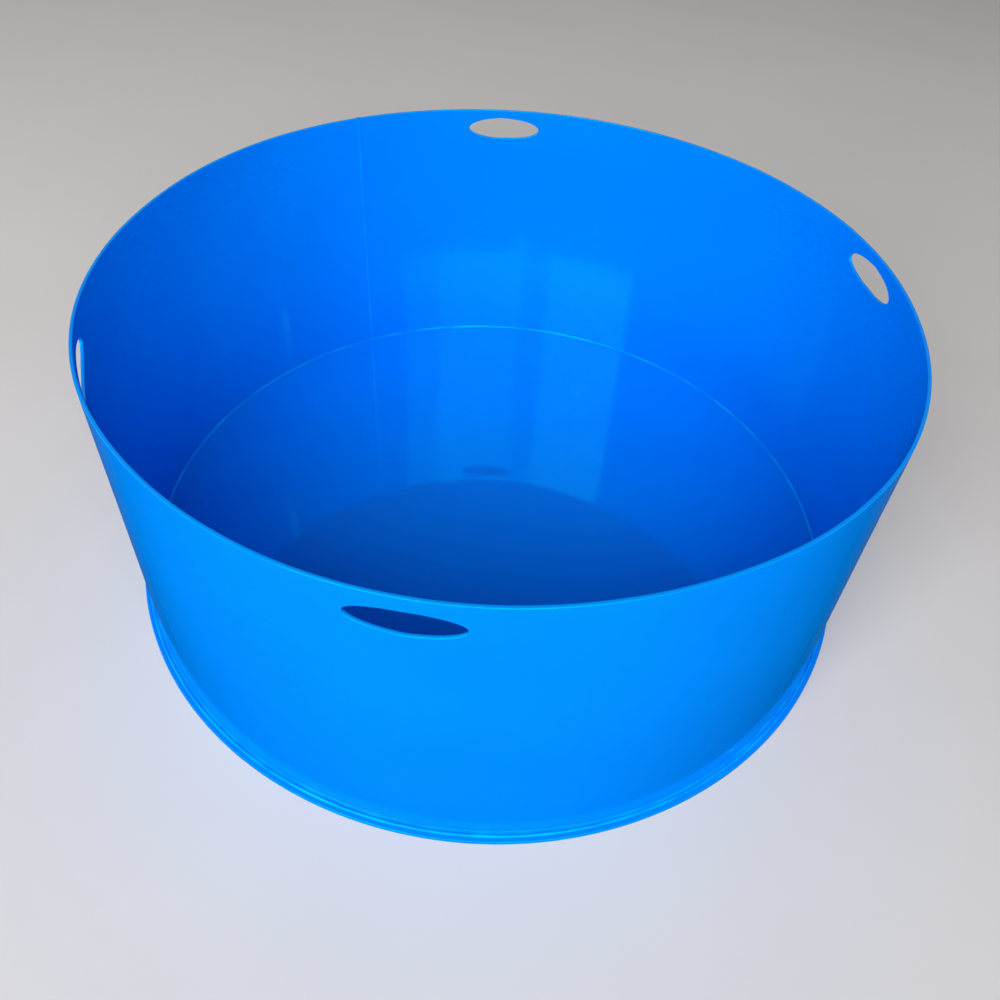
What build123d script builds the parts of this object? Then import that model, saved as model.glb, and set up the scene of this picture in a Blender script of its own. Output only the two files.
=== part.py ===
from build123d import *
from math import cos, radians, sin, sqrt
import os

# Round mortar mixing tub, welded together from flat plastic sheet.
#
# A rectangular sheet is rolled into a cylinder and butt-welded along one upright seam, with a bead of
# filler in a V groove on each side. The cylinder stands on a thicker disc, which sticks out past it as a
# narrow flange, and a bead joins the two inside and outside. Four oval hand holes are cut through
# the wall just below the rim.
#
# Millimetres, +Z up. The origin is the centre of the underside, where the tub rests on the ground.
# The front of the tub faces -Y, and angles run anticlockwise from +X.

# Driving dimensions
INNER_DIAMETER = 950
WALL_THICKNESS = 4
BASE_THICKNESS = 5
OVERALL_HEIGHT = 411
FLANGE_WIDTH = 11
EASED_EDGE = 0.6  # radius left by scraping the sawn edges

# Angle of each hand hole, and how far above or below the common height it was cut
HAND_HOLES = ((12, 0), (92, 2), (202, 0), (262, -3.5))
HOLE_LENGTH = 108
HOLE_HEIGHT = 32
HOLE_TO_RIM = 14.5  # material left above a hand hole at the common height
HOLE_CUT_DEPTH = 20  # reach of the cutter each way from mid-thickness

SEAM_ANGLE = 119.5
SEAM_BEAD_WIDTH = 5
SEAM_ROOT_GAP = 1  # gap between the two sheet edges at mid-thickness
SEAM_CROWN = 0.9  # how far a seam bead stands proud of the wall

# Reach of each corner bead out over the base and up the wall
OUTER_BEAD = (6, 3)
INNER_BEAD = (3, 3)
BEAD_FULLNESS = 0.62  # a corner bead's face has two flats, which meet at this share of both reaches

# Derived dimensions
inner_radius = INNER_DIAMETER / 2
outer_radius = inner_radius + WALL_THICKNESS
middle_radius = inner_radius + WALL_THICKNESS / 2
base_radius = outer_radius + FLANGE_WIDTH
wall_height = OVERALL_HEIGHT - BASE_THICKNESS
hole_centre_height = OVERALL_HEIGHT - HOLE_TO_RIM - HOLE_HEIGHT / 2

os.makedirs("parts", exist_ok=True)


def outward(angle, radius=0.0, height=0.0):
    """Plane whose normal points straight out of the tub at an angle, with its x axis level."""
    out = Vector(cos(radians(angle)), sin(radians(angle)), 0)
    level = Vector(-sin(radians(angle)), cos(radians(angle)), 0)
    return Plane(origin=out * radius + Vector(0, 0, height), x_dir=level, z_dir=out)


def seam_section(surface_radius, crown_radius):
    """Level section of one seam bead: half of the double V, closed by a crowned arc off the sheet."""
    half_width = SEAM_BEAD_WIDTH / 2
    half_gap = SEAM_ROOT_GAP / 2
    toe = sqrt(surface_radius**2 - half_width**2)  # the bead's edges lie exactly on the sheet's surface
    foot = Plane(origin=(0, 0, BASE_THICKNESS), x_dir=outward(SEAM_ANGLE).z_dir, z_dir=(0, 0, 1))
    with BuildSketch(foot) as section:
        with BuildLine():
            Polyline(
                (toe, -half_width),
                (middle_radius, -half_gap),
                (middle_radius, half_gap),
                (toe, half_width),
            )
            ThreePointArc((toe, half_width), (crown_radius, 0), (toe, -half_width))
        make_face()
    return section.sketch


def corner_bead_section(wall_radius, reach, side):
    """Section of a corner bead between wall and base, outside the wall (side 1) or inside (side -1)."""
    out, up = reach
    with BuildSketch(Plane.XZ) as section:
        with BuildLine():
            Polyline(
                (wall_radius, BASE_THICKNESS),
                (wall_radius + side * out, BASE_THICKNESS),
                (wall_radius + side * out * BEAD_FULLNESS, BASE_THICKNESS + up * BEAD_FULLNESS),
                (wall_radius, BASE_THICKNESS + up),
                close=True,
            )
        make_face()
    return section.sketch


# Base plate: a flat disc with eased edges
with BuildPart() as base_plate:
    with BuildSketch():
        Circle(base_radius)
    extrude(amount=BASE_THICKNESS)
    fillet(base_plate.edges(), EASED_EDGE)

# Corner beads between the wall and the base plate
with BuildPart() as base_weld_outside:
    revolve(corner_bead_section(outer_radius, OUTER_BEAD, side=1), axis=Axis.Z)

with BuildPart() as base_weld_inside:
    revolve(corner_bead_section(inner_radius, INNER_BEAD, side=-1), axis=Axis.Z)

# Seam beads: they run the full height of the wall, and give way to the corner beads at its foot
outer_seam_section = seam_section(outer_radius, outer_radius + SEAM_CROWN)
inner_seam_section = seam_section(inner_radius, inner_radius - SEAM_CROWN)

with BuildPart() as seam_weld_outside:
    extrude(outer_seam_section, amount=wall_height)
    add(base_weld_outside.part, mode=Mode.SUBTRACT)

with BuildPart() as seam_weld_inside:
    extrude(inner_seam_section, amount=wall_height)
    add(base_weld_inside.part, mode=Mode.SUBTRACT)

# Wall: the rolled sheet with eased rim and hand holes, and a double V groove where its ends meet
with BuildPart() as wall_sheet:
    with BuildSketch(Plane.XY.offset(BASE_THICKNESS)):
        Circle(outer_radius)
        Circle(inner_radius, mode=Mode.SUBTRACT)
    extrude(amount=wall_height)
    fillet(wall_sheet.faces().sort_by(Axis.Z)[-1].edges(), EASED_EDGE)
    for angle, rise in HAND_HOLES:
        edges_before = wall_sheet.edges()
        with BuildSketch(outward(angle, middle_radius, hole_centre_height + rise)):
            Ellipse(HOLE_LENGTH / 2, HOLE_HEIGHT / 2)
        extrude(amount=HOLE_CUT_DEPTH, both=True, mode=Mode.SUBTRACT)
        hole_edges = wall_sheet.edges() - edges_before
        fillet(hole_edges.filter_by(lambda edge: edge.length > HOLE_LENGTH), EASED_EDGE)
    extrude(outer_seam_section, amount=wall_height, mode=Mode.SUBTRACT)
    extrude(inner_seam_section, amount=wall_height, mode=Mode.SUBTRACT)

pieces = {
    "base_plate": base_plate,
    "wall_sheet": wall_sheet,
    "seam_weld_inside": seam_weld_inside,
    "seam_weld_outside": seam_weld_outside,
    "base_weld_outside": base_weld_outside,
    "base_weld_inside": base_weld_inside,
}
for name, piece in pieces.items():
    piece.part.label = name
    export_step(piece.part, f"parts/{name}.step")
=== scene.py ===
import math
import bmesh
import bpy
import numpy as np
from mathutils import Matrix, Vector


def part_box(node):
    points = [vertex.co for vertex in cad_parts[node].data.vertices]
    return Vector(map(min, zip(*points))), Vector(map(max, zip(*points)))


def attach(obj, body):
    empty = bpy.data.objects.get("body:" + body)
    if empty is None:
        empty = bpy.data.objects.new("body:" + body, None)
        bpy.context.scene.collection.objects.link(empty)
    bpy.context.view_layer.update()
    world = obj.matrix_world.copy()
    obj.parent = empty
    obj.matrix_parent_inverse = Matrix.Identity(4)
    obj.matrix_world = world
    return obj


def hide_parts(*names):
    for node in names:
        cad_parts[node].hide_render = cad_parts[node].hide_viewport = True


# Mortar mixing tub, welded together from glossy blue plastic sheet.
#
# Every CAD node is replaced by a finer mesh of the same piece, built here in the CAD frame: the rolled
# wall with its hand holes, the base plate, the two beads of the upright seam and the two corner beads.
# Metres throughout. Round the tub, places are given as a turn anticlockwise from the upright seam.

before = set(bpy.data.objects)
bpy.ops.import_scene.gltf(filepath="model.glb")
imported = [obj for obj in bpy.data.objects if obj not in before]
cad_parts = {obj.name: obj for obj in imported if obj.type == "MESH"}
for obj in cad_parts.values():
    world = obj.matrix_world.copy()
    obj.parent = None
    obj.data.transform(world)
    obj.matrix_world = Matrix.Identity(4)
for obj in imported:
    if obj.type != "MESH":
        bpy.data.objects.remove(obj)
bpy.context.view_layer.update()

MM = 0.001
TURN = 2 * math.pi

# Sizes read from the CAD frame
_, base_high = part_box("base_plate")
_, wall_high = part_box("wall_sheet")
seam_low, seam_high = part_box("seam_weld_inside")
BASE_RADIUS = base_high.x
FLOOR = base_high.z
RIM = wall_high.z
OUTER_RADIUS = wall_high.x
INNER_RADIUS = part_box("base_weld_inside")[1].x
MIDDLE_RADIUS = (OUTER_RADIUS + INNER_RADIUS) / 2
THICKNESS = OUTER_RADIUS - INNER_RADIUS
OUTER_BEAD_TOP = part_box("base_weld_outside")[1].z
INNER_BEAD_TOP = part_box("base_weld_inside")[1].z
SEAM_ANGLE = math.atan2(seam_low.y + seam_high.y, seam_low.x + seam_high.x)

# Finish of the sheet and the welds
CAD_EASED_EDGE = 0.6 * MM  # radius of the edges of the CAD wall's hand holes
EASED_EDGE = 1.0 * MM  # radius left by scraping the sawn edges
EDGE_STEPS = 5  # facets across an eased edge
EDGE_SUPPORT = 0.4 * MM  # narrow band beside an eased edge, which keeps the shading crisp
SHARP_ANGLE = math.radians(40)
SEAM_HALF_WIDTH = 2.5 * MM
SEAM_HALF_GAP = 0.5 * MM
SEAM_CROWN = 0.6 * MM
# The free rim stands a little out of round: lobes round the tub, size, and angle of a crest from +X
RIM_WAVES = (
    (2, 0.6 * MM, -71),
    (3, 0.6 * MM, -7),
    (4, 0.7 * MM, 43),
    (5, 0.4 * MM, -27),
    (6, 0.8 * MM, 20),
)
# The sheet is a little slack: lobes round the tub, size, phase gained from foot to rim, phase at the foot
SLACK_WAVES = ((11, 0.12 * MM, 5, 0), (19, 0.08 * MM, -7, 1))


# ---------------------------------------------------------------------------------------- mesh making


class Skin:
    """Collects the vertices and faces of one piece.

    Each vertex carries two attributes for the materials: "sawn", 1 on a cut or scraped face, and
    "unrolled", its place in metres along and across the flat sheet or the bead."""

    def __init__(self):
        self.points = []
        self.sawn = []
        self.unrolled = []
        self.faces = []
        self.count = 0

    def add(self, points, unrolled, sawn=0.0):
        """Adds an array of points and returns their numbers, laid out as the points are."""
        shape = points.shape[:-1]
        numbers = self.count + np.arange(math.prod(shape)).reshape(shape)
        self.points.append(points.reshape(-1, 3))
        self.unrolled.append(np.broadcast_to(unrolled, points.shape).reshape(-1, 3))
        self.sawn.append(np.broadcast_to(sawn, shape).ravel())
        self.count += numbers.size
        return numbers

    def quads(self, grid, keep=None, closed=False):
        """Faces between neighbouring rows and columns of a grid of vertex numbers."""
        if closed:
            grid = np.concatenate([grid, grid[:, :1]], axis=1)
        corners = np.stack([grid[:-1, :-1], grid[:-1, 1:], grid[1:, 1:], grid[1:, :-1]], axis=-1)
        if keep is not None:
            corners = corners[keep]
        self.faces.extend(corners.reshape(-1, 4).tolist())

    def fan(self, centre, ring):
        """Triangles from one vertex to a closed ring."""
        following = np.roll(ring, -1)
        self.faces.extend([[centre, int(a), int(b)] for a, b in zip(ring, following)])

    def build(self, name, material, slot, *nodes):
        """Makes the object, turns its normals outward and puts it in the place of the CAD nodes."""
        mesh = bpy.data.meshes.new(name)
        mesh.from_pydata(np.concatenate(self.points).tolist(), [], self.faces)
        sawn = mesh.attributes.new("sawn", "FLOAT", "POINT")
        sawn.data.foreach_set("value", np.concatenate(self.sawn).astype(np.float32))
        unrolled = mesh.attributes.new("unrolled", "FLOAT_VECTOR", "POINT")
        unrolled.data.foreach_set("vector", np.concatenate(self.unrolled).astype(np.float32).ravel())
        shape = bmesh.new()
        shape.from_mesh(mesh)
        bmesh.ops.recalc_face_normals(shape, faces=shape.faces)
        shape.to_mesh(mesh)
        shape.free()
        mesh.shade_smooth()
        mesh.set_sharp_from_angle(angle=SHARP_ANGLE)
        mesh.materials.append(material)
        piece = bpy.data.objects.new(name, mesh)
        bpy.context.scene.collection.objects.link(piece)
        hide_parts(*nodes)
        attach(piece, "root")
        return piece


def vectors(*parts):
    """One array of 3-D vectors from three numbers or arrays that broadcast together."""
    return np.stack(np.broadcast_arrays(*parts), axis=-1)


def sheet_wave(angle, height):
    """How far the wall stands out of true: nothing at its welded foot, most at its free rim."""
    rise = np.clip((height - FLOOR) / (RIM - FLOOR), 0, 1)
    out_of_round = sum(
        size * np.cos(lobes * (angle - math.radians(crest))) for lobes, size, crest in RIM_WAVES
    )
    slack = sum(
        size * np.sin(lobes * angle + gain * rise + start) for lobes, size, gain, start in SLACK_WAVES
    )
    return rise**1.5 * out_of_round + np.sqrt(rise) * slack


def on_wall(turn, radius, height):
    """Points of the wall, at a turn from the seam."""
    angle = SEAM_ANGLE + turn
    radius = radius + sheet_wave(angle, height)
    return vectors(radius * np.cos(angle), radius * np.sin(angle), height)


def eased():
    """Setback along one face and depth down the other at each step round an eased edge."""
    bend = np.linspace(0, math.pi / 2, EDGE_STEPS + 1)
    return EASED_EDGE * (1 - np.sin(bend)), EASED_EDGE * (1 - np.cos(bend))


# ---------------------------------------------------------------------------------------------- wall

# The wall is a grid of rows and columns. Each hand hole has a window in the grid, which is filled with
# rings that run from the window's border to the hole's edge.
WALL_COLUMNS = 600
ROWS_BELOW_HOLES = 24
BAND_ROWS = 14  # rows of the grid beside the hand holes
BAND_MARGIN = 6.5 * MM  # from the highest and lowest hand holes to the ends of that band
RIM_STRIP = 3 * MM  # height of the strip of narrow rows below the rim's eased edge
WINDOW_HALF_COLUMNS = 15
RING_SHARES = (0.3, 0.55, 0.75, 0.9, 1.0)  # where the rings lie between the border and the hole's lip
SAW_WANDER = 0.3 * MM  # how far a hand hole strays from a true oval


def read_hand_holes():
    """Turn, height, half length and half height of each hand hole, read off the CAD wall.

    Between its foot and its rim the CAD wall has no vertices but those round its hand holes."""
    points = np.array([vertex.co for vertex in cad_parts["wall_sheet"].data.vertices])
    points = points[(points[:, 2] > FLOOR + 5 * MM) & (points[:, 2] < RIM - 5 * MM)]
    turns = (np.arctan2(points[:, 1], points[:, 0]) - SEAM_ANGLE) % TURN
    order = np.argsort(turns)
    breaks = np.flatnonzero(np.diff(turns[order]) > math.radians(10)) + 1
    holes = []
    for group in np.split(order, breaks):
        first, last = turns[group].min(), turns[group].max()
        bottom, top = points[group, 2].min(), points[group, 2].max()
        half_length = INNER_RADIUS * math.sin((last - first) / 2) - CAD_EASED_EDGE
        half_height = (top - bottom) / 2 - CAD_EASED_EDGE
        holes.append(((first + last) / 2, (top + bottom) / 2, half_length, half_height))
    return holes


def oval(half_length, half_height, count):
    """Points and outward normals round an ellipse, spread evenly by length and by turning alike."""
    fine = np.linspace(0, TURN, 2001)
    x = half_length * np.cos(fine)
    y = half_height * np.sin(fine)
    length = np.concatenate([[0], np.cumsum(np.hypot(np.diff(x), np.diff(y)))])
    heading = np.unwrap(np.arctan2(half_length * np.sin(fine), half_height * np.cos(fine)))
    share = (length / length[-1] + heading / TURN) / 2
    place = np.interp(np.arange(count) / count, share, fine)
    points = np.stack([half_length * np.cos(place), half_height * np.sin(place)], axis=-1)
    normals = np.stack([np.cos(place) / half_length, np.sin(place) / half_height], axis=-1)
    return points, normals / np.linalg.norm(normals, axis=1, keepdims=True)


def window_loop(row_low, row_high, column_low, column_high):
    """Rows and columns of the grid round a window, anticlockwise from the middle of its high column."""
    row_mid = (row_low + row_high) // 2
    corners = [
        (row_mid, column_high),
        (row_high, column_high),
        (row_high, column_low),
        (row_low, column_low),
        (row_low, column_high),
        (row_mid, column_high),
    ]
    loop = []
    for (row, column), (next_row, next_column) in zip(corners, corners[1:]):
        rise, run = next_row - row, next_column - column
        steps = abs(rise) + abs(run)
        for step in range(steps):
            loop.append((row + rise * step // steps, column + run * step // steps))
    return np.array(loop).T


def hole_side(skin, hole, turns, heights, loop, numbers, surface_radius, inward):
    """Rings on one side of the wall, from the window's border round the eased edge into the cut."""
    turn, height, half_length, half_height = hole
    points, normals = oval(half_length, half_height, len(loop[0]))
    wander = SAW_WANDER * np.sin(3 * np.arctan2(points[:, 1], points[:, 0]) + 5 * turn)[:, None]
    points = points + normals * wander
    border_along = surface_radius * np.sin(turns[loop[1]] - turn)
    border = np.stack([border_along, heights[loop[0]] - height], axis=-1)
    lip = points + normals * (EASED_EDGE + EDGE_SUPPORT)
    setback, depth = eased()
    steps = [(border + (lip - border) * share, 0.0, 0.0) for share in RING_SHARES]
    steps += [(points + normals * s, d, 1.0) for s, d in zip(setback, depth)]
    steps += [(points, EASED_EDGE + EDGE_SUPPORT, 1.0)]
    rings = [numbers[loop[0], loop[1]]]
    for place, inset, sawn in steps:
        radius = surface_radius + inward * inset
        ring_turn = turn + np.arcsin(place[:, 0] / radius)
        level = height + place[:, 1]
        unrolled = vectors(ring_turn * radius, level, inset)
        rings.append(skin.add(on_wall(ring_turn, radius, level), unrolled, sawn))
    return rings


def groove_side(skin, turn, heights, outer, inner):
    """One end of the rolled sheet: its two sloping faces meet in a ridge at mid-thickness.

    The two top rows of the sheet's faces both lie at the rim, so the ridge stops a row sooner."""
    levels = heights[:-1]
    unrolled = vectors(turn * MIDDLE_RADIUS, levels, THICKNESS / 2)
    ridge = skin.add(on_wall(turn, MIDDLE_RADIUS, levels), unrolled, 1.0)
    skin.quads(np.stack([outer[:-1], ridge, inner[:-1]]))
    across_rim = [outer[-2], outer[-1], inner[-1], inner[-2]]
    ends = [(outer[0], ridge[0], inner[0])]
    ends += [(first, second, ridge[-1]) for first, second in zip(across_rim, across_rim[1:])]
    skin.faces.extend([[int(number) for number in face] for face in ends])


def build_wall(material):
    """The rolled sheet: both faces, the sawn rim, the hand holes and the V groove between its ends."""
    holes = read_hand_holes()
    hole_low = min(height - half_height for _, height, _, half_height in holes)
    hole_high = max(height + half_height for _, height, _, half_height in holes)
    setback, depth = eased()
    band = np.linspace(hole_low - BAND_MARGIN, hole_high + BAND_MARGIN, BAND_ROWS + 1)
    below = np.linspace(FLOOR, band[0], ROWS_BELOW_HOLES + 1)[:-1]
    above = [RIM - EASED_EDGE - RIM_STRIP, RIM - EASED_EDGE - EDGE_SUPPORT]
    heights = np.concatenate([below, band, above, RIM - setback, [RIM]])
    insets = np.concatenate([np.zeros(len(heights) - len(depth) - 1), depth, [EASED_EDGE + EDGE_SUPPORT]])
    sawn = (heights > RIM - EASED_EDGE - EDGE_SUPPORT / 2).astype(float)[:, None]
    end_turn = SEAM_HALF_WIDTH / MIDDLE_RADIUS
    turns = np.linspace(end_turn, TURN - end_turn, WALL_COLUMNS + 1)

    skin = Skin()
    level, inset = heights[:, None], insets[:, None]
    outer_radius, inner_radius = OUTER_RADIUS - inset, INNER_RADIUS + inset
    outer_flat = vectors(turns * OUTER_RADIUS, level, inset)
    inner_flat = vectors(turns * INNER_RADIUS, level, inset)
    outer = skin.add(on_wall(turns, outer_radius, level), outer_flat, sawn)
    inner = skin.add(on_wall(turns, inner_radius, level), inner_flat, sawn)
    keep = np.ones((len(heights) - 1, WALL_COLUMNS), bool)
    row_low = len(below)
    row_high = row_low + BAND_ROWS
    for hole in holes:
        column = int(np.argmin(np.abs(turns - hole[0])))
        column_low, column_high = column - WINDOW_HALF_COLUMNS, column + WINDOW_HALF_COLUMNS
        keep[row_low:row_high, column_low:column_high] = False
        loop = window_loop(row_low, row_high, column_low, column_high)
        rings = hole_side(skin, hole, turns, heights, loop, outer, OUTER_RADIUS, -1)
        rings += hole_side(skin, hole, turns, heights, loop, inner, INNER_RADIUS, 1)[::-1]
        skin.quads(np.array(rings), closed=True)
    skin.quads(outer, keep)
    skin.quads(inner, keep)
    skin.quads(np.stack([outer[-1], inner[-1]]))
    skin.quads(np.stack([outer[0], inner[0]]))

    gap_turn = SEAM_HALF_GAP / MIDDLE_RADIUS
    groove_side(skin, gap_turn, heights, outer[:, 0], inner[:, 0])
    groove_side(skin, TURN - gap_turn, heights, outer[:, -1], inner[:, -1])
    return skin.build("wall", material, "wall_sheet", "wall_sheet")


# ---------------------------------------------------------------------------------------- base plate

BASE_COLUMNS = 480
HUB_RADIUS = 0.06  # inside this the disc is closed with a fan of triangles
FLOOR_RINGS = 14
FLANGE_RINGS = 4


def floor_wave(x, y):
    """Unevenness of the floor inside the wall, which bends what it mirrors a little."""
    calm = np.clip(1 - np.hypot(x, y) / INNER_RADIUS, 0, 1)
    return 0.25 * MM * calm * (np.sin(9 * x + 4 * y + 1) + 0.6 * np.sin(13 * y - 6 * x))


def build_base(material):
    """The disc, with eased edges all round and a very slight unevenness in its floor."""
    setback, depth = eased()
    inside = np.linspace(HUB_RADIUS, INNER_RADIUS, FLOOR_RINGS)
    flange = np.linspace(OUTER_RADIUS, BASE_RADIUS - EASED_EDGE - EDGE_SUPPORT, FLANGE_RINGS)
    top = [(radius, FLOOR, 0.0) for radius in np.concatenate([inside, flange])]
    top += [(BASE_RADIUS - s_back, FLOOR - down, 1.0) for s_back, down in zip(depth[::-1], setback[::-1])]
    bottom = [(radius, FLOOR - height, sawn) for radius, height, sawn in top]
    profile = top + bottom[::-1]

    turns = np.linspace(0, TURN, BASE_COLUMNS, endpoint=False)
    skin = Skin()
    rings = []
    for radius, height, sawn in profile:
        x, y = radius * np.cos(turns), radius * np.sin(turns)
        level = height + (floor_wave(x, y) if height == FLOOR else 0 * turns)
        rings.append(skin.add(vectors(x, y, level), vectors(x, y, height), sawn))
    skin.quads(np.array(rings), closed=True)
    for ring, height in ((rings[0], FLOOR), (rings[-1], 0.0)):
        centre = skin.add(vectors(0.0, 0.0, height).reshape(1, 3), vectors(0.0, 0.0, height))
        skin.fan(int(centre[0]), ring)
    return skin.build("base", material, "base_sheet", "base_plate")


# -------------------------------------------------------------------------------------------- welds

CORNER_BEAD_COLUMNS = 2160
CORNER_BEAD_STEPS = 12
# Sections of the corner beads: an arc from the base round to its last angle, then a flat to the wall.
# Outside it is a half-melted rod that lies in the corner, and inside a slightly swollen fillet.
# "out" and "up" place the arc's centre from the corner, and "wall" is where the flat meets the wall.
OUTER_ARC = {"out": 3.9 * MM, "up": 0.5 * MM, "radius": 2.1 * MM, "last_degrees": 150, "wall": 2.2 * MM}
INNER_ARC = {"out": -1.1 * MM, "up": -1.1 * MM, "radius": 3.5 * MM, "last_degrees": 71, "wall": 2.3 * MM}
RIPPLE_PITCH = 5 * MM
RIPPLE_SIZE = 0.05 * MM
# Turns where one run of the corner welds stops and the next laps over it
RUN_ENDS = (0.35, 1.65, 2.9, 4.05, 5.3)
LAP_LENGTH = 5 * MM
LAP_SWELL = 0.25 * MM


def laps(turn, radius):
    """Swelling of a corner bead where one run laps another, 1 at the lap and 0 away from it."""
    away = np.abs((turn[:, None] - np.array(RUN_ENDS) + math.pi) % TURN - math.pi) * radius
    return np.exp(-((away / LAP_LENGTH) ** 2)).sum(axis=1)


def build_corner_bead(name, material, node, wall_radius, arc, side):
    """The bead in the corner of wall and base: side is 1 outside the wall and -1 inside it."""
    turns = np.linspace(0, TURN, CORNER_BEAD_COLUMNS, endpoint=False)
    toe = -math.asin(arc["up"] / arc["radius"])
    share = np.linspace(0, 1, CORNER_BEAD_STEPS + 1)[:, None]
    bend = toe + share * (math.radians(arc["last_degrees"]) - toe)
    along = turns * wall_radius
    waver = 0.1 * MM * np.sin(17 * turns + side) + 0.07 * MM * np.sin(41 * turns)
    folds = RIPPLE_SIZE * np.sin(TURN * (along / RIPPLE_PITCH + bend / math.pi))
    swell = (waver + folds + LAP_SWELL * laps(turns, wall_radius)) * np.sin(math.pi * share)
    out = arc["out"] + (arc["radius"] + swell) * np.cos(bend)
    up = arc["up"] + (arc["radius"] + swell) * np.sin(bend)
    out = np.concatenate([out, np.zeros((1, CORNER_BEAD_COLUMNS))])
    up = np.concatenate([up, np.full((1, CORNER_BEAD_COLUMNS), arc["wall"])])

    skin = Skin()
    angle = SEAM_ANGLE + turns
    radius = wall_radius + side * out
    face = vectors(radius * np.cos(angle), radius * np.sin(angle), FLOOR + up)
    face_rings = skin.add(face, vectors(along, out + up, 0.0))
    corner = vectors(wall_radius * np.cos(angle), wall_radius * np.sin(angle), FLOOR)
    corner_ring = skin.add(corner, vectors(along, 0.0, 0.0))
    skin.quads(np.concatenate([corner_ring[None], face_rings, corner_ring[None]]), closed=True)
    return skin.build(name, material, "weld_filler", node)


SEAM_ROWS = 330
SEAM_STEPS = 10
CROWN_FADE = 4 * MM  # height over which a seam bead's crown dies away into a corner bead


def build_seam_bead(name, material, node, surface_radius, side):
    """One bead of the upright seam: it fills half of the double V and stands proud of the sheet."""
    heights = np.linspace(FLOOR, RIM, SEAM_ROWS + 1)[:, None]
    across = np.linspace(-1, 1, SEAM_STEPS + 1)
    crown_starts = OUTER_BEAD_TOP if side > 0 else INNER_BEAD_TOP
    fade = np.clip((heights - crown_starts) / CROWN_FADE + 1, 0.1, 1)
    wander = 0.25 * MM * np.sin(31 * heights + side) + 0.12 * MM * np.sin(83 * heights)
    ripple = RIPPLE_SIZE * np.sin(TURN * (heights + np.abs(across) * RIPPLE_PITCH / 2) / RIPPLE_PITCH)
    crown = (SEAM_CROWN + ripple) * (1 - across**2) * fade
    swing = across * SEAM_HALF_WIDTH + wander * (1 - across**2)

    skin = Skin()
    radius = surface_radius + side * crown
    unrolled = vectors(heights, swing, 0.0)
    face = skin.add(on_wall(swing / MIDDLE_RADIUS, radius, heights), unrolled)
    root_turn = np.array([1, -1]) * SEAM_HALF_GAP / MIDDLE_RADIUS
    root_flat = vectors(heights, root_turn, THICKNESS / 2)
    root = skin.add(on_wall(root_turn, MIDDLE_RADIUS, heights), root_flat)
    section = np.concatenate([face, root], axis=1)
    skin.quads(section, closed=True)
    skin.faces.extend([section[0].tolist(), section[-1].tolist()])
    return skin.build(name, material, "weld_filler", node)


# ----------------------------------------------------------------------------------------- materials

BLUE = (0.0, 0.225, 0.88)
DEEP_BLUE = (0.0, 0.212, 0.85)
# The beads' paler blues are partly weld whitening and partly a painted highlight that brightens the bright
# line along each bead
SEAM_PALE_AND_SHEEN_BLUE = (0.0, 0.25, 0.89)
CORNER_BEAD_PALE_AND_SHEEN_BLUE = (0.0, 0.34, 0.92)
PALE_BLUE = (0.0, 0.38, 0.92)  # where the plastic is sawn, scraped or scuffed
DUST = (0.65, 0.8, 0.9)
DUST_RADIUS = 0.7 * MM
GLOSS_TINT = (0.0, 0.95, 1.0, 1.0)
GLOSS_LEVEL = 1.0


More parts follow.
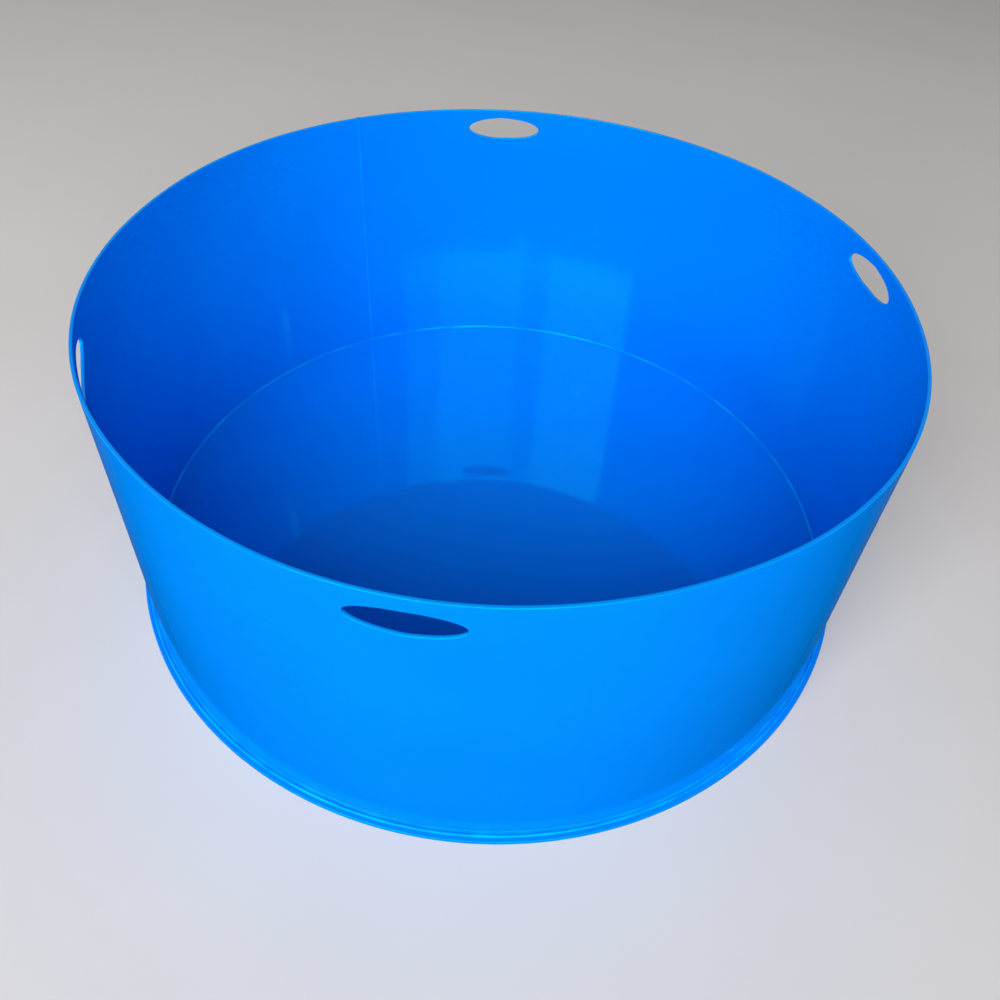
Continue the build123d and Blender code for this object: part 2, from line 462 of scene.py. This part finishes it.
class Shader:
    """Node-tree helper: each method adds one node and returns its output."""

    def __init__(self, name):
        self.material = bpy.data.materials.new(name)
        self.material.use_nodes = True
        self.nodes = self.material.node_tree.nodes
        self.links = self.material.node_tree.links
        self.surface = self.nodes["Principled BSDF"]

    def feed(self, socket, value):
        """Links an output to a socket, or sets the socket's own value."""
        if isinstance(value, bpy.types.NodeSocket):
            self.links.new(value, socket)
        else:
            socket.default_value = value

    def attribute(self, name, output="Fac"):
        """One of the piece's own vertex attributes."""
        node = self.nodes.new("ShaderNodeAttribute")
        node.attribute_name = name
        return node.outputs[output]

    def grain(self, place, size, turned=0.0, detail=2.0):
        """Noise, about 0.5 on average, whose features have a size in metres along each axis."""
        frame_of_grain = self.nodes.new("ShaderNodeMapping")
        frame_of_grain.vector_type = "TEXTURE"
        frame_of_grain.inputs["Rotation"].default_value = (0, 0, turned)
        frame_of_grain.inputs["Scale"].default_value = size
        self.feed(frame_of_grain.inputs["Vector"], place)
        noise = self.nodes.new("ShaderNodeTexNoise")
        self.feed(noise.inputs["Vector"], frame_of_grain.outputs["Vector"])
        noise.inputs["Scale"].default_value = 1.0
        noise.inputs["Detail"].default_value = detail
        return noise.outputs["Fac"]

    def specks(self, place, spacing, radius):
        """1 inside small round specks strewn at about a spacing, and 0 elsewhere."""
        cells = self.nodes.new("ShaderNodeTexVoronoi")
        self.feed(cells.inputs["Vector"], place)
        cells.inputs["Scale"].default_value = 1 / spacing
        return self.ramp(cells.outputs["Distance"], radius / spacing, 0.8 * radius / spacing)

    def ramp(self, value, low, high, to_low=0.0, to_high=1.0):
        """The value mapped smoothly from one range to another, and held at its ends."""
        node = self.nodes.new("ShaderNodeMapRange")
        node.interpolation_type = "SMOOTHSTEP"
        self.feed(node.inputs["Value"], value)
        ends = {"From Min": low, "From Max": high, "To Min": to_low, "To Max": to_high}
        for label, number in ends.items():
            node.inputs[label].default_value = number
        return node.outputs["Result"]

    def maths(self, operation, first, second):
        """Two values put through a math node."""
        node = self.nodes.new("ShaderNodeMath")
        node.operation = operation
        self.feed(node.inputs[0], first)
        self.feed(node.inputs[1], second)
        return node.outputs[0]

    def blend(self, share, first, second):
        """Colours mixed by a share from 0 to 1."""
        node = self.nodes.new("ShaderNodeMix")
        node.data_type = "RGBA"
        factor, *colours = [socket for socket in node.inputs if socket.enabled]
        self.feed(factor, share)
        for socket, colour in zip(colours, (first, second)):
            self.feed(socket, (*colour, 1) if isinstance(colour, tuple) else colour)
        return next(socket for socket in node.outputs if socket.enabled)

    def bump(self, height, distance, under=None):
        """A normal bent by a height map whose range from 0 to 1 is a distance in metres."""
        node = self.nodes.new("ShaderNodeBump")
        node.inputs["Distance"].default_value = distance
        self.feed(node.inputs["Height"], height)
        if under is not None:
            self.feed(node.inputs["Normal"], under)
        return node.outputs["Normal"]

    def gloss(self):
        """The mirror-like top of the plastic, which gives off blue highlights."""
        self.surface.inputs["Specular Tint"].default_value = GLOSS_TINT
        self.surface.inputs["Specular IOR Level"].default_value = GLOSS_LEVEL


def sheet_plastic(name, scratch_turns, speck_spacing, roughness):
    """Glossy blue sheet: it is very slightly wavy, smudged and scratched, and paler where it is sawn."""
    shader = Shader(name)
    place = shader.attribute("unrolled", "Vector")
    sawn = shader.attribute("sawn")

    # Scratches are long thin grains, and show only in patches
    scratched = 0.0
    for turned in scratch_turns:
        lines = shader.ramp(shader.grain(place, (0.12, 0.0006, 1), turned, detail=1.0), 0.74, 0.80)
        patches = shader.ramp(shader.grain(place, (0.11, 0.09, 0.3), turned), 0.56, 0.68)
        scratched = shader.maths("MAXIMUM", scratched, shader.maths("MULTIPLY", lines, patches))
    specks = shader.specks(place, speck_spacing, DUST_RADIUS)

    clouds = shader.ramp(shader.grain(place, (0.3, 0.2, 0.3), detail=3.0), 0.35, 0.65)
    colour = shader.blend(clouds, BLUE, DEEP_BLUE)
    scuffs = shader.maths("MULTIPLY", scratched, 0.15)
    pale = shader.maths("MAXIMUM", scuffs, shader.maths("MULTIPLY", sawn, 0.2))
    colour = shader.blend(pale, colour, PALE_BLUE)
    colour = shader.blend(shader.maths("MULTIPLY", specks, 0.8), colour, DUST)
    shader.feed(shader.surface.inputs["Base Color"], colour)

    smudge = shader.grain(place, (0.05, 0.07, 0.1), detail=4.0)
    smudges = shader.ramp(smudge, 0.45, 0.75, roughness, roughness + 0.04)
    matt = shader.maths("MULTIPLY", shader.maths("MAXIMUM", scuffs, specks), 0.3)
    shader.feed(shader.surface.inputs["Roughness"], shader.maths("ADD", smudges, matt))
    shader.gloss()

    waves = shader.grain(place, (0.055, 0.35, 1), detail=1.0)
    normal = shader.bump(waves, 0.08 * MM)
    orange_peel = shader.grain(place, (0.006, 0.006, 1), detail=1.0)
    normal = shader.bump(orange_peel, 0.0005 * MM, normal)
    saw_marks = shader.maths("MULTIPLY", shader.grain(place, (0.0015, 0.012, 0.0015), detail=1.0), sawn)
    normal = shader.bump(saw_marks, 0.02 * MM, normal)
    normal = shader.bump(shader.maths("SUBTRACT", specks, scratched), 0.006 * MM, normal)
    shader.feed(shader.surface.inputs["Normal"], normal)
    return shader.material


def bead_plastic(name, pale_and_sheen):
    """The same plastic melted into a bead: a little paler and uneven, with folds across its run. The paler
    blue is partly weld whitening and partly a painted highlight that brightens the line along the bead.
    """
    shader = Shader(name)
    place = shader.attribute("unrolled", "Vector")
    clouds = shader.grain(place, (0.04, 0.01, 0.01), detail=4.0)
    # Mottle towards the paler blue: partly weld whitening, partly painted highlight along the bead
    colour = shader.blend(shader.ramp(clouds, 0.35, 0.7), BLUE, pale_and_sheen)
    shader.feed(shader.surface.inputs["Base Color"], colour)
    shader.feed(shader.surface.inputs["Roughness"], shader.ramp(clouds, 0.3, 0.7, 0.08, 0.15))
    shader.gloss()
    folds = shader.grain(place, (0.0012, 0.006, 0.006), detail=2.0)
    shader.feed(shader.surface.inputs["Normal"], shader.bump(folds, 0.04 * MM))
    return shader.material


def studio_floor():
    """Pale matt board with a faint mottle."""
    shader = Shader("studio_floor")
    place = shader.nodes.new("ShaderNodeTexCoord").outputs["Object"]
    mottle = shader.grain(place, (0.4, 0.4, 0.4), detail=4.0)
    colour = shader.blend(mottle, (0.63, 0.60, 0.58), (0.68, 0.65, 0.63))
    shader.feed(shader.surface.inputs["Base Color"], colour)
    shader.surface.inputs["Roughness"].default_value = 0.9
    shader.surface.inputs["Specular IOR Level"].default_value = 0.1
    return shader.material


wall_plastic = sheet_plastic("wall_plastic", (0.05, 0.8, -1.1), 0.23, 0.09)
base_plastic = sheet_plastic("base_plastic", (0.3, 1.4, -0.7), 0.11, 0.05)
corner_bead_plastic = bead_plastic("corner_bead_plastic", CORNER_BEAD_PALE_AND_SHEEN_BLUE)
seam_bead_plastic = bead_plastic("seam_bead_plastic", SEAM_PALE_AND_SHEEN_BLUE)

build_wall(wall_plastic)
build_base(base_plastic)
build_corner_bead("base_bead_outside", corner_bead_plastic, "base_weld_outside", OUTER_RADIUS, OUTER_ARC, 1)
build_corner_bead("base_bead_inside", corner_bead_plastic, "base_weld_inside", INNER_RADIUS, INNER_ARC, -1)
build_seam_bead("seam_bead_outside", seam_bead_plastic, "seam_weld_outside", OUTER_RADIUS, 1)
build_seam_bead("seam_bead_inside", seam_bead_plastic, "seam_weld_inside", INNER_RADIUS, -1)


# ------------------------------------------------------------------------- stage, light and camera

STAGE_RADIUS = 60.0
WINDOW_DISTANCE = 4.0
WINDOW_SILL = 1.6
WINDOW_TOP = 7.5


def build_stage():
    """A large round floor under the tub. Its reflection stays off the glossy walls."""
    turns = np.linspace(0, TURN, 96, endpoint=False)
    points = [(STAGE_RADIUS * math.cos(turn), STAGE_RADIUS * math.sin(turn), 0.0) for turn in turns]
    mesh = bpy.data.meshes.new("studio_floor")
    mesh.from_pydata(points, [], [range(len(points))])
    mesh.materials.append(studio_floor())
    floor = bpy.data.objects.new("studio_floor", mesh)
    bpy.context.scene.collection.objects.link(floor)
    floor.visible_glossy = False


def softbox(name, place, width, height, luminance, aim):
    """A rectangular light with an evenly bright face."""
    light = bpy.data.lights.new(name, "AREA")
    light.shape = "RECTANGLE"
    light.size = width
    light.size_y = height
    light.energy = luminance * math.pi * width * height
    lamp = bpy.data.objects.new(name, light)
    lamp.location = place
    lamp.rotation_mode = "QUATERNION"
    lamp.rotation_quaternion = (Vector(aim) - Vector(place)).to_track_quat("-Z", "Y")
    bpy.context.scene.collection.objects.link(lamp)


# Near and far edge to the side, and luminance, of the tall panes of a soft window
PANES = {
    "pane_right_outer": (1.9, 3.1, 2.6),
    "pane_right": (-0.45, 1.9, 5.6),
    "pane_middle": (-0.45, -1.15, 3.0),
    "pane_left": (-1.15, -4.3, 7.0),
}


def build_lights():
    """A tall soft window behind the camera, with a dim panel to its left and two thin ones to its right.

    One more light faces away from the tub and keeps the floor beyond the window from going dark."""
    pane_height = WINDOW_TOP - WINDOW_SILL
    for name, (near_edge, far_edge, luminance) in PANES.items():
        place = ((near_edge + far_edge) / 2, -WINDOW_DISTANCE, WINDOW_SILL + pane_height / 2)
        softbox(name, place, abs(far_edge - near_edge), pane_height, luminance, (place[0], 0, place[2]))
    softbox("left_fill", (-3.6, -1.3, 1.3), 4.0, 2.4, 0.65, (0, 0, 0.3))
    softbox("right_strip_low", (4.23, -0.34, 2.78), 0.12, 0.8, 8.0, (0, 0, 0.3))
    softbox("right_strip_high", (3.57, 0.45, 5.2), 0.10, 1.1, 6.0, (0, 0, 0.3))
    softbox("far_floor", (0, -4.5, 5.0), 16.0, 6.0, 3.0, (0, -12.0, 0))


# Colours of the surroundings from straight down, at 0, to straight up, at 1
WORLD_STOPS = (
    (0.05, (0.0, 0.03, 0.20)),
    (0.12, (0.0, 0.11, 0.30)),
    (0.44, (0.0, 0.11, 0.30)),
    (0.48, (0.30, 0.37, 0.40)),
    (0.93, (0.03, 0.03, 0.03)),
)


def build_world():
    """Dim surroundings: a soft glow round the horizon that fades overhead, above darker ground.

    What lies well beyond the tub is a little redder, and the outer wall mirrors it along its edges."""
    world = bpy.data.worlds.new("studio")
    world.use_nodes = True
    nodes, links = world.node_tree.nodes, world.node_tree.links
    direction = nodes.new("ShaderNodeTexCoord").outputs["Generated"]
    split = nodes.new("ShaderNodeSeparateXYZ")
    links.new(direction, split.inputs[0])

    height = nodes.new("ShaderNodeMapRange")
    height.inputs["From Min"].default_value = -1.0
    links.new(split.outputs["Z"], height.inputs["Value"])
    ramp = nodes.new("ShaderNodeValToRGB")
    links.new(height.outputs["Result"], ramp.inputs["Fac"])
    elements = ramp.color_ramp.elements
    for _ in WORLD_STOPS[2:]:
        elements.new(0.5)
    for element, (position, colour) in zip(elements, WORLD_STOPS):
        element.position = position
        element.color = (*colour, 1)

    redness = nodes.new("ShaderNodeMapRange")
    for label, number in (("From Min", 0.42), ("From Max", 0.58), ("To Max", 0.04)):
        redness.inputs[label].default_value = number
    links.new(split.outputs["Y"], redness.inputs["Value"])
    red = nodes.new("ShaderNodeCombineXYZ")
    links.new(redness.outputs["Result"], red.inputs["X"])
    total = nodes.new("ShaderNodeVectorMath")
    total.operation = "ADD"
    links.new(ramp.outputs["Color"], total.inputs[0])
    links.new(red.outputs["Vector"], total.inputs[1])
    links.new(total.outputs["Vector"], nodes["Background"].inputs["Color"])
    bpy.context.scene.world = world


# The camera stands in front of the tub and looks down into it, tipped a little to one side
CAMERA_PLACE = Vector((0, -0.9135, 0.9870))
CAMERA_AIM = Vector((0.0021, 0, 0.1082))
CAMERA_TIP = math.radians(3.48)
CAMERA_LENS = 32.495
CAMERA_SHIFT = (0.0040, -0.0362)


def build_camera():
    """Puts the camera in its place, turned to its aim and then tipped."""
    camera = bpy.data.cameras.new("camera")
    camera.lens = CAMERA_LENS
    camera.sensor_width = 36
    camera.shift_x, camera.shift_y = CAMERA_SHIFT
    camera.clip_start = 0.01
    rig = bpy.data.objects.new("camera", camera)
    aim = (CAMERA_AIM - CAMERA_PLACE).to_track_quat("-Z", "Y").to_matrix()
    tipped = aim @ Matrix.Rotation(CAMERA_TIP, 3, "Z")
    rig.matrix_world = Matrix.Translation(CAMERA_PLACE) @ tipped.to_4x4()
    bpy.context.scene.collection.objects.link(rig)
    bpy.context.scene.camera = rig


build_stage()
build_lights()
build_world()
build_camera()
bpy.context.scene.view_settings.view_transform = "Standard"
